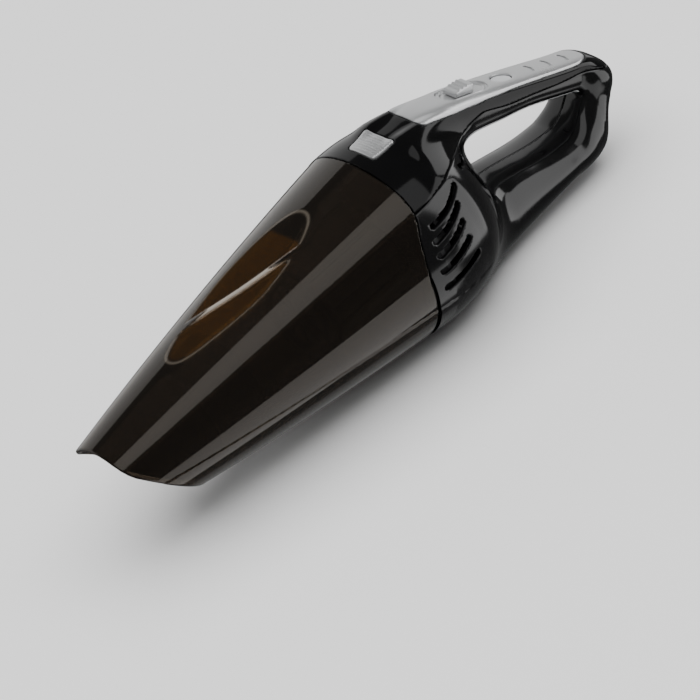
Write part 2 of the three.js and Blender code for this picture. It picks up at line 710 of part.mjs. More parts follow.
addPart('dust_cup', dustCup(), SMOKE, 0.12);
addPart('inlet_duct', inletDuct(), 0x2a2422, 0.35);
addPart('filter_frame', filterFrame(), 0x1c1c1d, 0.5);
addPart('hepa_filter', pleatedFilter(), 0xd9d6cc, 0.9);
addPart('filter_mesh', filterMesh(), 0x8d8f92, 0.4, 0.8);
addPart('filter_gasket', filterGasket(), 0x2b2b2b, 0.85);
addPart('upper_shell', upperShell(outer, inner), BLACK_GLOSS, 0.1);
addPart('left_housing', sideHousing(-1, outer, middle, inner), BLACK_GLOSS, 0.22);
addPart('right_housing', sideHousing(1, outer, middle, inner), BLACK_GLOSS, 0.22);
addPart('handle_trim', handleTrim(), SILVER, 0.35, 0.7);
addPart('indicator_lens', indicatorLens(), 0xdfe6ea, 0.15);
addPart('switch_knob', switchKnob(), SILVER, 0.4, 0.6);
addPart('switch_body', switchBody(), 0x232323, 0.5);
addPart('control_board', controlBoard(), 0x1f5a34, 0.6);
addPart('release_button', releaseButton(), SILVER, 0.35, 0.6);
addPart('release_spring', releaseSpring(), STEEL, 0.35, 1);
addPart('bulkhead', bulkhead(), 0x161616, 0.5);
addPart('fan_housing', fanHousing(), 0x202021, 0.5);
addPart('impeller', impeller(), 0xb9bbbe, 0.35, 0.9);
addPart('impeller_nut', impellerNut(), STEEL, 0.3, 1);
addPart('motor_shaft', motorShaft(), STEEL, 0.25, 1);
addPart('rotor_core', rotorCore(), COPPER, 0.4, 0.8);
addPart('commutator', commutator(), COPPER, 0.3, 1);
addPart('motor_can', motorCan(), STEEL, 0.35, 1);
addPart('motor_endbell', motorEndbell(), 0x303030, 0.5);
addPart('brush_left', brush(-1), 0x2a2a2a, 0.7);
addPart('brush_right', brush(1), 0x2a2a2a, 0.7);
addPart('front_bearing', bearing(MOTOR_FRONT_X + 0.2), 0xc09a55, 0.35, 1);
addPart('rear_bearing', bearing(MOTOR_REAR_X - 2.6), 0xc09a55, 0.35, 1);
addPart('motor_mount_front', motorMount(20.5), 0x1b1b1b, 0.6);
addPart('motor_mount_rear', motorMount(31), 0x1b1b1b, 0.6);
addPart('battery_cell_left', batteryCell(-1), 0x2f7d8c, 0.45);
addPart('battery_cell_right', batteryCell(1), 0x2f7d8c, 0.45);
addPart('battery_cradle', batteryCradle(), 0x1d1d1d, 0.6);
addPart('battery_link', batteryLink(), 0xb9bcc0, 0.3, 1);
addPart('charge_jack', chargeJack(), 0x151515, 0.4);
addPart('motor_lead_red', wire(RED_LEAD), 0xa31d1a, 0.5);
addPart('motor_lead_black', wire(BLACK_LEAD), 0x161616, 0.5);
addPart('charge_lead', wire(CHARGE_LEAD), 0xa31d1a, 0.5);
SCREWS.forEach(([x, z], i) => addPart(`housing_screw_${i + 1}`, screw(x, z), STEEL, 0.3, 1));

export default group;
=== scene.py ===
"""Cordless handheld vacuum: fine shells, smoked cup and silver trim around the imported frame."""

import json
import math

import bpy
import numpy as np
from mathutils import Matrix, Vector


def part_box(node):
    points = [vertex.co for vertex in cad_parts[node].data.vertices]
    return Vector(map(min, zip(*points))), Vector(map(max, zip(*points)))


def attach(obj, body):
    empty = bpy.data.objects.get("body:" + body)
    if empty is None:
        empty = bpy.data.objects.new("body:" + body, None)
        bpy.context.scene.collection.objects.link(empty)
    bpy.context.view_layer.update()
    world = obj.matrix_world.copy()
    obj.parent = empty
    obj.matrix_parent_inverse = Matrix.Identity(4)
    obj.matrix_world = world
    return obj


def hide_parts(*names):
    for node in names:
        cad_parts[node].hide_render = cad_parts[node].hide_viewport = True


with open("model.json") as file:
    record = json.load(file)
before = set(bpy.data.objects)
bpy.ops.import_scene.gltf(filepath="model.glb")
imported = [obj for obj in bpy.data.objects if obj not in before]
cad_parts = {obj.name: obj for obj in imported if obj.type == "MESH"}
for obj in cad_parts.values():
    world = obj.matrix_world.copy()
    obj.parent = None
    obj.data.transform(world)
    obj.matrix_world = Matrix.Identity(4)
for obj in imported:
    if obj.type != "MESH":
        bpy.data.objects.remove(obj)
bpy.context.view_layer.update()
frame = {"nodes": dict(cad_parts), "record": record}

# ---- Shared dimensions: millimetres from the cup joint (x) and the motor axis (z) ----
SHAFT_START = 3.8
shaft_low, shaft_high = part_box("motor_shaft")
ORIGIN = np.array([
    shaft_low.x * 1000 - SHAFT_START,
    0.0,
    (shaft_low.z + shaft_high.z) * 500,
])
HALF_GAP = 0.15  # half of the gap between neighbouring shells
LOOSE = 0.3  # clearance round the parts let into a shell
CUP_RADIUS = 55.2  # at the joint
CUP_TAPER = 20.5  # loss of radius over CUP_SPAN, straight part
CUP_BARREL = 7.5  # loss of radius over CUP_SPAN, curved part
CUP_SPAN = 200
CUP_WALL = 2.2
NOZZLE_TIP_X = -212.0
NOZZLE_CUT_X = -196.5  # where the 45 degree cut crosses the motor axis
RIDGE_FRONT = (-124.0, 10.0)  # fine ridge across the scoop's floor, plan view
RIDGE_REAR = (-58.0, -14.5)
RIDGE_HEIGHT = 1.8
RIDGE_HALF_WIDTH = 3.0
WINDOW_END_X = (-54.6, -52.6)  # the painted glow on the scoop's floor stops between these, so its rear end stays dark as painted shade
UPPER_CREASE = math.radians(40)
LOWER_CREASE_Z = -21.0  # at the joint
LOWER_CREASE_RISE = 0.102  # per millimetre toward the nozzle
CREASE_STEP = 0.5  # how far the panel between the creases is let in
CREASE_HALF_WIDTH = 0.85
BARREL_RADIUS = 55.6
BARREL_LENGTH = 59.4
BARREL_POWER = 2.7
BODY_WALL = 2.4
ROOT_FILLET = 15  # where the handle's bars leave the body
CROWN_FILLET = 4  # along the top of the body
SOLE_Z = -49.2
TRIM_PROUD = 0.4
TRIM_DEPTH = 1.2
TRIM_FRONT_X = 42
TRIM_NOSE_X = 146.5
TRIM_NOSE_RADIUS = 10
GRIP_LINES = (124.5, 135.5, 146.5)
GRIP_HALF_LENGTH = 4.6
POCKET_X = 81.0
POCKET_RADIUS = 7.5
POCKET_STRAIGHT = 8.5  # half the length of the pocket's straight sides
LENS_X = 106.5
LENS_HALF_LENGTH = 6.2
LENS_HALF_WIDTH = 4.7
BAR_SLOPE = math.radians(22.8)
LENS_SLOPE = math.radians(24.5)
KNOB_X = 79.0
BUTTON_X = 16.5
BUTTON_HALF_LENGTH = 8
BUTTON_HALF_WIDTH = 10.75  # in the middle: it widens toward the rear
BUTTON_FLARE = 1.5 / 16
BUTTON_PROUD = 1.0
JACK_Z = -34
JACK_FRONT_X = 134
JACK_RADIUS = 4.9
SCREWS = [(20, -46), (50, -30), (51, 22.5), (137, -24.5), (97, 20), (130, 6.2)]  # (x, z)
SCREW_HEAD_RADIUS = 3.0
SCREW_HEAD_Y = 7
VENT_BOW = 1.6
VENTS = [  # upper end and lower end, each (x, z), then width
    ((31, 31.2), (2, 25.4), 2.9),
    ((25, 24.8), (-1.5, 18.4), 3.4),
    ((21.5, 17), (-3.2, 10.6), 3.8),
    ((20.5, 7.4), (-5.4, 1.8), 4.1),
    ((22.5, -4.2), (-6.6, -8.6), 4.3),
    ((50, 29.8), (41, 32), 2.4),
]


# ---- Fields: negative inside, close to the distance in millimetres near the surface ----
def curve(points):
    """A smooth function through [x, value] points, level beyond its ends."""
    xs, values = np.array(points, float).T
    slopes = np.gradient(values, xs)

    def at(x):
        x = np.clip(x, xs[0], xs[-1])
        i = np.clip(np.searchsorted(xs, x) - 1, 0, len(xs) - 2)
        length = xs[i + 1] - xs[i]
        t = (x - xs[i]) / length
        step = t * t * (3 - 2 * t)
        bend = length * t * (1 - t) * (slopes[i] * (1 - t) - slopes[i + 1] * t)
        return values[i] * (1 - step) + values[i + 1] * step + bend

    return at


def join(a, b, k):
    """Union with a fillet about k across."""
    h = np.maximum(k - np.abs(a - b), 0) / k
    return np.minimum(a, b) - h * h * k / 4


def meet(a, b, k=0.5):
    """Intersection with a rounded edge about k across."""
    return -join(-a, -b, k)


def smooth_step(low, high, value):
    t = np.clip((value - low) / (high - low), 0, 1)
    return t * t * (3 - 2 * t)


def squircle(u, v, half_u, half_v, power):
    """Rounded-box section with those half sizes."""
    ratio = (np.abs(u) / half_u) ** power + (np.abs(v) / half_v) ** power
    return (ratio ** (1 / power) - 1) * np.minimum(half_u, half_v)


def box_field(x, y, z, low, high, corner=0.3):
    """Rounded block."""
    centre = (np.array(low, float) + np.array(high, float)) / 2
    half = (np.array(high, float) - np.array(low, float)) / 2 - corner
    q = [np.abs(p - c) - h for p, c, h in zip((x, y, z), centre, half)]
    outside = np.sqrt(sum(np.maximum(p, 0) ** 2 for p in q))
    return outside + np.minimum(np.maximum.reduce(q), 0) - corner


# ---- Outlines: curves along x, or along z for the rear upright and the joint ----
TOP_LINE = curve([(10, 52), (30, 53.8), (45, 53), (70, 45.5), (95, 34.5), (120, 23), (140, 13.6),
                  (156, 6.6), (172, -1)])
TOP_DEPTH = curve([(10, 24), (66, 24), (88, 21.6), (108, 18.8), (130, 18.6), (172, 18.6)])
LOWER_WIDTH = curve([(20, 23), (42, 25), (60, 25), (75, 23.6), (88, 22.5), (102, 21.8), (113, 21.4),
                     (123, 21), (132, 19.6), (140, 17), (146, 15)])
LOWER_TOP = curve([(20, -12), (60, -11.2), (75, -12.1), (88, -14.8), (102, -18.3), (113, -20.3),
                   (123, -21.1), (132, -20.8), (146, -20)])
LOWER_FOOT = curve([(20, -51.5), (60, -51), (75, -50), (88, -49), (102, -47.6), (113, -46.5),
                    (123, -45.7), (132, -45.4), (146, -44)])
REAR_FRONT = curve([(-46, 118), (-28, 127), (-13, 137), (-5, 145), (1, 149), (8, 151)])
REAR_BACK = curve([(-46, 138), (-40, 144.5), (-28, 154.6), (-13, 164.6), (-5, 166.4), (1, 166), (8, 163.5)])
REAR_WIDTH = curve([(-46, 12), (-40, 14), (-28, 15.8), (-13, 15.8), (-5, 14.6), (1, 13), (8, 11)])
SCOOP_LINE = curve([(-216, 40), (-165, 37.2), (-147, 35.9), (-138, 36.5), (-126, 37.6), (-108, 39.3),
                    (-90, 41.2), (-75, 43.6), (-60, 46.3), (-47, 48.9), (-40, 50.4), (-36, 51.4),
                    (-30, 53.5), (6, 66)])
JOINT_LINE = curve([(-60, -15.4), (-35, -14.2), (-23, -13.3), (-12, -13), (0, -12.6), (10, -11), (16, -9.2),
                    (23, -6.6), (28, -3.7), (32, -1.2), (35, -0.1), (60, 0)])
SEAM = curve([(-30, 34.7), (-5, 34.8), (12, 35.3), (24, 36), (33, 36.3), (42, 35.4), (52, 33), (62, 32),
              (72, 32.4), (80, 31.8), (87, 28.6), (93, 25.4), (113, 17.5), (135, 9), (152, 3), (160, -2),
              (190, -16)])


# ---- Cup and body ----
def barrel(x, y, z):
    """The body's round front, which carries on the cup's taper ahead of the joint."""
    behind = (np.maximum(x, 0) / BARREL_LENGTH) ** BARREL_POWER
    taper = CUP_RADIUS - cup_radius(np.minimum(x, 0))
    around = ((np.hypot(y, z) + taper) / BARREL_RADIUS) ** BARREL_POWER
    return ((behind + around) ** (1 / BARREL_POWER) - 1) * BARREL_RADIUS


def top_bar(x, y, z):
    half_height = TOP_DEPTH(x) / 2
    half_width = 15.5 - 0.02 * np.maximum(x - 60, 0)
    bar = squircle(y, z - TOP_LINE(x) + half_height, half_width, half_height, 3)
    bar = meet(bar, x - 163.3, 12)
    return meet(bar, 10 - x, 2)


def lower_bar(x, y, z):
    top = LOWER_TOP(x)
    foot = LOWER_FOOT(x)
    bar = squircle(y, z - (top + foot) / 2, 1.05 * LOWER_WIDTH(x), 0.52 * (top - foot), 2.35)
    bar = meet(bar, x - 147, 8)
    return meet(bar, 16 - x, 2)


def rear_upright(x, y, z):
    front = REAR_FRONT(z)
    back = REAR_BACK(z)
    post = squircle(y, x - (front + back) / 2, REAR_WIDTH(z), (back - front) / 2, 3)
    post = meet(post, z - 4.5 + 0.45 * (x - 150), 9)
    return meet(post, -46.2 - z, 8)


def body(x, y, z):
    """The whole outer surface of the body and handle, with fillets where the bars meet."""
    loop = join(top_bar(x, y, z), rear_upright(x, y, z), 7)
    loop = join(loop, lower_bar(x, y, z), 9)
    flank = smooth_step(4, 13, np.abs(y)) * smooth_step(12, 30, x)
    crown = smooth_step(36, 50, z) * (1 - flank)
    return join(loop, barrel(x, y, z), ROOT_FILLET - (ROOT_FILLET - CROWN_FILLET) * crown)


def joint_plane(x, z):
    """Zero on the bowed joint between the cup and the body, positive behind it."""
    slope = JOINT_LINE(z + 0.5) - JOINT_LINE(z - 0.5)
    return (x - JOINT_LINE(z)) / np.sqrt(1 + slope ** 2)


def cup_radius(x):
    u = -x / CUP_SPAN
    return CUP_RADIUS - CUP_TAPER * u - CUP_BARREL * u * u


def side_panel(x, y, z):
    """One between the two creases on each side, zero above and below them."""
    upper = math.sin(UPPER_CREASE) * np.hypot(y, z)
    lower = LOWER_CREASE_Z - LOWER_CREASE_RISE * x
    below = 1 - smooth_step(upper - CREASE_HALF_WIDTH, upper + CREASE_HALF_WIDTH, z)
    above = smooth_step(lower - CREASE_HALF_WIDTH, lower + CREASE_HALF_WIDTH, z)
    return below * above


def ridge(x, y):
    """One along the crest of the ridge that crosses the scoop, zero beside it."""
    (ax, ay), (bx, by) = RIDGE_FRONT, RIDGE_REAR
    across = ((x - ax) * (by - ay) - (y - ay) * (bx - ax)) / math.hypot(bx - ax, by - ay)
    return np.cos(np.clip(across / RIDGE_HALF_WIDTH, -1, 1) * math.pi / 2) ** 2


def scoop(x, y, z):
    """Negative above the floor of the scoop in the cup's top."""
    floor_z = SCOOP_LINE(x) + RIDGE_HEIGHT * ridge(x, y)
    return (floor_z - z) * 0.97


def nozzle_plane(x, z):
    """Positive in front of the nozzle's blunt lip and its slanted cut."""
    slanted = (NOZZLE_CUT_X - x - z) * math.sqrt(0.5)
    return -join(-slanted, x - NOZZLE_TIP_X, 6)


def dust_cup(x, y, z):
    skin = np.hypot(y, z) - cup_radius(x)
    outside = meet(skin + CREASE_STEP * side_panel(x, y, z), -scoop(x, y, z), 0.5)
    cavity = meet(skin + CUP_WALL, CUP_WALL - scoop(x, y, z), 2)
    shell = meet(outside, -cavity, 0.4)
    shell = meet(shell, nozzle_plane(x, z), 1.4)
    return meet(shell, joint_plane(x, z) + HALF_GAP, 0.35)


# ---- Body shells and what is let into them ----
TRIM_HALF_WIDTH = curve([(TRIM_FRONT_X, 13.9), (70, 13.2), (110, 11.4), (TRIM_NOSE_X, TRIM_NOSE_RADIUS)])


def trim_outline(x, y):
    """Plan view of the silver strip: wide in front, narrowing to a round nose."""
    sides = np.abs(y) - TRIM_HALF_WIDTH(x)
    nose = np.hypot((x - TRIM_NOSE_X) / 1.15, y) - TRIM_NOSE_RADIUS
    flank = np.where(x < TRIM_NOSE_X, sides, nose)
    return meet(flank, TRIM_FRONT_X - x, 3)


def sloped(x, z, at_x, slope):
    """Coordinates along and above the top bar from the point of its top line at at_x."""
    dx = x - at_x
    dz = z - TOP_LINE(np.array(at_x))
    return dx * math.cos(slope) - dz * math.sin(slope), dx * math.sin(slope) + dz * math.cos(slope)


def pocket(x, y, z, grow):
    """Long oval switch pocket."""
    along, above = sloped(x, z, POCKET_X, BAR_SLOPE)
    oval = np.hypot(np.maximum(np.abs(along) - POCKET_STRAIGHT, 0), y) - POCKET_RADIUS - grow
    return np.maximum(oval, -7.2 - above)


def lens_oval(x, y, z, grow):
    along, above = sloped(x, z, LENS_X, LENS_SLOPE)
    oval = squircle(along, y, LENS_HALF_LENGTH + grow, LENS_HALF_WIDTH + grow, 2)
    return np.maximum(oval, -5 - above)


def button_outline(x, y, grow):
    half_width = BUTTON_HALF_WIDTH + (x - BUTTON_X) * BUTTON_FLARE
    sides = np.abs(y) - half_width - grow
    ends = np.abs(x - BUTTON_X) - BUTTON_HALF_LENGTH - grow
    return meet(sides, ends, 2.5)


def vent(x, z, upper, lower, width):
    """Bowed slot between two points in side view."""
    (xu, zu), (xl, zl) = upper, lower
    dx, dz = xu - xl, zu - zl
    length = math.hypot(dx, dz)
    along = ((x - xl) * dx + (z - zl) * dz) / length
    t = np.clip(along / length, 0, 1)
    across = ((z - zl) * dx - (x - xl) * dz) / length + VENT_BOW * 4 * t * (1 - t)
    beyond = np.maximum(np.abs(along - length / 2) - length / 2 + width / 2, 0)
    return np.hypot(beyond, across) - width / 2


def vents(x, y, z):
    slots = np.minimum.reduce([vent(x, z, *row) for row in VENTS])
    return np.maximum(slots, 20 - np.abs(y))


def wall(surface):
    """A shell of the body's wall thickness under a surface."""
    return meet(surface, -surface - BODY_WALL, 0.3)


def upper_shell(x, y, z):
    surface = body(x, y, z)
    recess = np.maximum(trim_outline(x, y) - LOOSE, -surface - TRIM_DEPTH - LOOSE)
    shell = meet(wall(surface), -recess, 0.3)
    shell = meet(shell, SEAM(x) - z, 0.7)
    shell = meet(shell, HALF_GAP - joint_plane(x, z), 0.35)
    button_hole = np.maximum(button_outline(x, y, LOOSE), 30 - z)
    shell = meet(shell, -button_hole, 0.5)
    shell = meet(shell, -pocket(x, y, z, -1.2), 0.3)
    return meet(shell, -lens_oval(x, y, z, LOOSE), 0.3)


def housing(side):
    """The left (-1) or right (1) half of the body below the seam."""
    def field(x, y, z):
        surface = meet(body(x, y, z), SOLE_Z - z, 0.8)
        fade = smooth_step(34, 26, x) * smooth_step(37, 35.5, z)
        surface = surface + CREASE_STEP * side_panel(x, y, z) * fade
        shell = meet(wall(surface), -vents(x, y, z), 0.6)
        shell = meet(shell, z - SEAM(x) + 2 * HALF_GAP, 0.7)
        shell = meet(shell, HALF_GAP - joint_plane(x, z), 0.35)
        shell = meet(shell, HALF_GAP - side * y, 0.5)
        jack = np.hypot(y, z - JACK_Z) - JACK_RADIUS
        shell = meet(shell, -np.maximum(jack, JACK_FRONT_X - x), 0.4)
        if side > 0:
            for screw_x, screw_z in SCREWS:
                head = np.hypot(x - screw_x, z - screw_z) - SCREW_HEAD_RADIUS
                shell = meet(shell, -np.maximum(head, SCREW_HEAD_Y - y), 0.4)
        return shell
    return field


def switch_tray(x, y, z):
    """Shallow tray under the slider, with a slot for its stem."""
    along, above = sloped(x, z, POCKET_X, BAR_SLOPE)
    rim = meet(pocket(x, y, z, -1.4), np.abs(above + 1.5) - 0.7, 0.2)
    tray = meet(rim, -meet(pocket(x, y, z, -2.0), -1.3 - above, 1.0), 0.4)
    slot = np.maximum(np.abs(along - 1) - 5.4, np.abs(y) - 2.5)
    return meet(tray, -slot, 0.3)


def handle_trim(x, y, z):
    """The silver strip, with the switch's pocket, a dished lens seat and grip lines."""
    surface = body(x, y, z)
    strip = meet(surface - TRIM_PROUD, -surface - TRIM_DEPTH, 0.3)
    strip = meet(strip, trim_outline(x, y), 0.7)
    strip = meet(strip, -np.maximum(pocket(x, y, z, 0.4), -surface - 0.6), 0.5)
    strip = meet(strip, -pocket(x, y, z, -1.9), 0.2)
    strip = join(strip, switch_tray(x, y, z), 0.3)
    strip = meet(strip, -lens_oval(x, y, z, LOOSE), 0.4)
    along, above = sloped(x, z, LENS_X, LENS_SLOPE)
    dish = np.hypot(np.hypot(along / 1.35, y), above - 28) - 28.4
    strip = meet(strip, -dish, 0.3)
    for at_x in GRIP_LINES:
        bowed = x - at_x - 0.8 + 0.05 * y ** 2
        line = np.hypot(bowed + 0.12 * (z - TOP_LINE(np.array(at_x))), surface) - 0.65
        strip = meet(strip, -np.maximum(line, np.abs(y) - GRIP_HALF_LENGTH), 0.3)
    return strip


def release_button(x, y, z):
    """Grooved cap on a stem, with an arm and a hook that hold the cup."""
    proud = body(x, y, z) - BUTTON_PROUD
    cap = meet(proud, button_outline(x, y, 0), 2.0)
    for groove_x in np.arange(11.5, 22.5, 1.8):
        cap = meet(cap, 0.35 - np.hypot(x - groove_x, proud), 0.3)
    cap = meet(cap, 46.5 - z, 0.4)
    stem = box_field(x, y, z, (12, -5, 43.8), (23.4, 5, 47.5))
    arm = box_field(x, y, z, (-3, -4, 43.8), (13, 4, 46))
    hook = box_field(x, y, z, (-5.4, -4, 43.8), (-2.8, 4, 48.6))
    return np.minimum.reduce([cap, stem, arm, hook])


def switch_knob(x, y, z):
    """Slider that rises toward the rear, with three ridges across it and a stem below."""
    along, above = sloped(x, z, KNOB_X, BAR_SLOPE)
    ramp = (above - 3.0) * 0.94 - (along + 2) * 0.18
    cap = meet(box_field(along, y, above, (-6.4, -5.2, -1.0), (6.4, 5.2, 4.6), 0.8), ramp, 0.8)
    ridges = [np.hypot(along - at, above - 3.1 - 0.2 * (at + 2)) - 0.75 for at in (-2.6, 0, 2.6)]
    cap = join(cap, np.maximum(np.minimum.reduce(ridges), np.abs(y) - 4.6), 0.5)
    stem = box_field(along, y, above, (-2, -2, -7.6), (2, 2, -1))
    return np.minimum(cap, stem)


def indicator_lens(x, y, z):
    along, above = sloped(x, z, LENS_X, LENS_SLOPE)
    dome = above + 1.2 - 0.012 * along ** 2 - 0.02 * y ** 2
    lens = meet(squircle(along, y, LENS_HALF_LENGTH, LENS_HALF_WIDTH, 2), dome, 0.4)
    return meet(lens, -3.6 - above, 0.3)


# ---- Meshing ----
CORNERS = np.array([(i, j, k) for i in (0, 1) for j in (0, 1) for k in (0, 1)])
EDGES = [(a, b) for a in range(8) for b in range(a + 1, 8) if np.abs(CORNERS[a] - CORNERS[b]).sum() == 1]
PROJECTION_STEPS = 4


def sample(field, points):
    """The field's values at many points, a slice at a time to save memory."""
    slices = np.array_split(points, max(1, len(points) // 400_000))
    return np.concatenate([field(p[:, 0], p[:, 1], p[:, 2]) for p in slices])


def gradient(field, points, reach=0.04):
    columns = []
    for axis in range(3):
        shift = np.zeros(3)
        shift[axis] = reach
        columns.append((sample(field, points + shift) - sample(field, points - shift)) / (2 * reach))
    return np.stack(columns, 1)


def net(field, low, high, step):
    """Points and quads of the field's surface inside a box, by surface nets on a grid."""
    axes = [np.arange(a, b + step, step) for a, b in zip(low, high)]
    shape = tuple(len(a) for a in axes)
    grid = np.stack(np.meshgrid(*axes, indexing="ij"), -1).reshape(-1, 3)
    values = sample(field, grid).reshape(shape)
    inside = values < 0
    count = sum(inside[i:shape[0] - 1 + i, j:shape[1] - 1 + j, k:shape[2] - 1 + k].astype(np.int8)
                for i, j, k in CORNERS)
    cells = np.argwhere((count > 0) & (count < 8))
    number = -np.ones(count.shape, int)
    number[tuple(cells.T)] = np.arange(len(cells))
    corner_values = np.stack([values[tuple((cells + c).T)] for c in CORNERS], 1)
    total = np.zeros((len(cells), 3))
    hits = np.zeros(len(cells))
    for a, b in EDGES:
        va, vb = corner_values[:, a], corner_values[:, b]
        crossed = (va < 0) != (vb < 0)
        t = np.where(crossed, va / np.where(crossed, va - vb, 1), 0)
        total += crossed[:, None] * (CORNERS[a] + t[:, None] * (CORNERS[b] - CORNERS[a]))
        hits += crossed
    points = (cells + total / hits[:, None]) * step + np.array(low, float)
    quads = []
    for axis in range(3):
        u, v = (axis + 1) % 3, (axis + 2) % 3
        first = np.take(inside, range(shape[axis] - 1), axis)
        second = np.take(inside, range(1, shape[axis]), axis)
        spots = np.argwhere(first != second)
        spots = spots[(spots[:, u] > 0) & (spots[:, v] > 0) & (spots[:, u] < shape[u] - 1)
                      & (spots[:, v] < shape[v] - 1)]
        leaving = first[tuple(spots.T)]
        step_u, step_v = np.eye(3, dtype=int)[u], np.eye(3, dtype=int)[v]
        ring = [spots - step_u - step_v, spots - step_v, spots, spots - step_u]
        faces = np.stack([number[tuple(r.T)] for r in ring], 1)
        faces[~leaving] = faces[~leaving][:, ::-1]
        quads.append(faces)
    return points, np.concatenate(quads)


def piece(name, field, low, high, step, material, node, body_name):
    """Meshes a field, puts its points and normals on the exact surface, and rides it on its body."""
    points, quads = net(field, low, high, step)
    for _ in range(PROJECTION_STEPS):
        slope = gradient(field, points)
        length = np.maximum((slope ** 2).sum(1), 0.2)
        move = -(sample(field, points) / length)[:, None] * slope
        points = points + np.clip(move, -step / 2, step / 2)
    normals = gradient(field, points)
    normals /= np.maximum(np.linalg.norm(normals, axis=1), 1e-9)[:, None]
    mesh = bpy.data.meshes.new(name)
    mesh.from_pydata(((points + ORIGIN) / 1000).tolist(), [], quads.tolist())
    mesh.shade_smooth()
    mesh.normals_split_custom_set_from_vertices(normals.tolist())
    mesh.materials.append(material)
    obj = bpy.data.objects.new(name, mesh)
    bpy.context.collection.objects.link(obj)
    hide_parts(node)
    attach(obj, body_name)
    return obj


# ---- Materials ----
def new_material(name, color, roughness, metallic=0.0):
    material = bpy.data.materials.new(name)
    material.use_nodes = True
    shader = material.node_tree.nodes["Principled BSDF"]
    shader.inputs["Base Color"].default_value = (*color, 1)
    shader.inputs["Roughness"].default_value = roughness
    shader.inputs["Metallic"].default_value = metallic
    return material, material.node_tree, shader


def add_noise(tree, scale, detail=3.0):
    coordinates = tree.nodes.new("ShaderNodeTexCoord")
    noise = tree.nodes.new("ShaderNodeTexNoise")
    noise.inputs["Scale"].default_value = scale
    noise.inputs["Detail"].default_value = detail
    tree.links.new(coordinates.outputs["Object"], noise.inputs["Vector"])
    return noise


def ramp_between(tree, source, low, high, from_low=0.3, from_high=0.7):
    node = tree.nodes.new("ShaderNodeMapRange")
    node.inputs["From Min"].default_value = from_low
    node.inputs["From Max"].default_value = from_high
    node.inputs["To Min"].default_value = low
    node.inputs["To Max"].default_value = high
    tree.links.new(source, node.inputs["Value"])
    return node.outputs["Result"]


def tint_between(tree, source, dark, light):
    mix = tree.nodes.new("ShaderNodeMix")
    mix.data_type = "RGBA"
    mix.inputs["A"].default_value = (*dark, 1)
    mix.inputs["B"].default_value = (*light, 1)
    tree.links.new(source, mix.inputs["Factor"])
    return mix.outputs["Result"]


def bump(tree, shader, source, strength, distance):
    node = tree.nodes.new("ShaderNodeBump")
    node.inputs["Strength"].default_value = strength
    node.inputs["Distance"].default_value = distance
    tree.links.new(source, node.inputs["Height"])
    tree.links.new(node.outputs["Normal"], shader.inputs["Normal"])


def moulded(name, dark, light, rough_low, rough_high, grain=0.0, metallic=0.0, shine=0.5):
    """Moulded plastic or metal: slow colour drift, roughness drift and an optional fine grain."""
    material, tree, shader = new_material(name, light, rough_high, metallic)
    shader.inputs["Specular IOR Level"].default_value = shine
    slow = add_noise(tree, 35.0)
    tree.links.new(tint_between(tree, slow.outputs["Fac"], dark, light), shader.inputs["Base Color"])
    tree.links.new(ramp_between(tree, slow.outputs["Fac"], rough_low, rough_high), shader.inputs["Roughness"])
    if grain:
        fine = add_noise(tree, 1400.0, 2.0)
        bump(tree, shader, fine.outputs["Fac"], grain, 0.00005)
    return material


def attribute(tree, name):
    node = tree.nodes.new("ShaderNodeAttribute")
    node.attribute_name = name
    return node.outputs["Fac"]


def layer(tree, name, below, above):
    """One colour over another where the mesh's mark of that name is one."""
    mix = tree.nodes.new("ShaderNodeMix")
    mix.data_type = "RGBA"
    tree.links.new(attribute(tree, name), mix.inputs["Factor"])
    tree.links.new(below, mix.inputs["A"])
    tree.links.new(above, mix.inputs["B"])
    return mix.outputs["Result"]


def smoked():
    """Smoked clear plastic: nearly black, with a painted brown glow of light shining through the scoop's
    floor, and painted highlights, paler and less clear, on its rim and ridge.
    """
    material, tree, shader = new_material("smoked_plastic", (0.05, 0.03, 0.016), 0.04)
    shader.inputs["IOR"].default_value = 1.5
    shader.inputs["Specular Tint"].default_value = (1.0, 0.93, 0.84, 1)
    slow = add_noise(tree, 18.0, 2.0)
    dark = tint_between(tree, slow.outputs["Fac"], (0.034, 0.025, 0.017), (0.044, 0.032, 0.022))
    # Painted glow: lighter brown for light shining through the scoop's floor.
    clear = tint_between(tree, slow.outputs["Fac"], (0.13, 0.062, 0.014), (0.185, 0.088, 0.021))
    # Painted highlight along the crest of the scoop's ridge.
    crest_highlight_tint = tint_between(tree, slow.outputs["Fac"], (0.45, 0.40, 0.34), (0.55, 0.49, 0.42))
    # Painted highlight along the scoop's rim.
    rim_highlight_tint = tint_between(tree, slow.outputs["Fac"], (0.10, 0.085, 0.068), (0.14, 0.12, 0.095))
    color = layer(tree, "painted_floor_glow", dark, clear)
    color = layer(tree, "rim", color, rim_highlight_tint)
    color = layer(tree, "crest", color, crest_highlight_tint)
    tree.links.new(color, shader.inputs["Base Color"])
    # Painted highlights: the rim and the crest let less light through, so that their pale colour shows.
    marks = tree.nodes.new("ShaderNodeMath")
    marks.operation = "MAXIMUM"
    tree.links.new(attribute(tree, "crest"), marks.inputs[0])
    tree.links.new(attribute(tree, "rim"), marks.inputs[1])
    through = ramp_between(tree, marks.outputs["Value"], 0.92, 0.45, 0.0, 1.0)
    tree.links.new(through, shader.inputs["Transmission Weight"])
    tree.links.new(ramp_between(tree, slow.outputs["Fac"], 0.03, 0.06), shader.inputs["Roughness"])
    return material


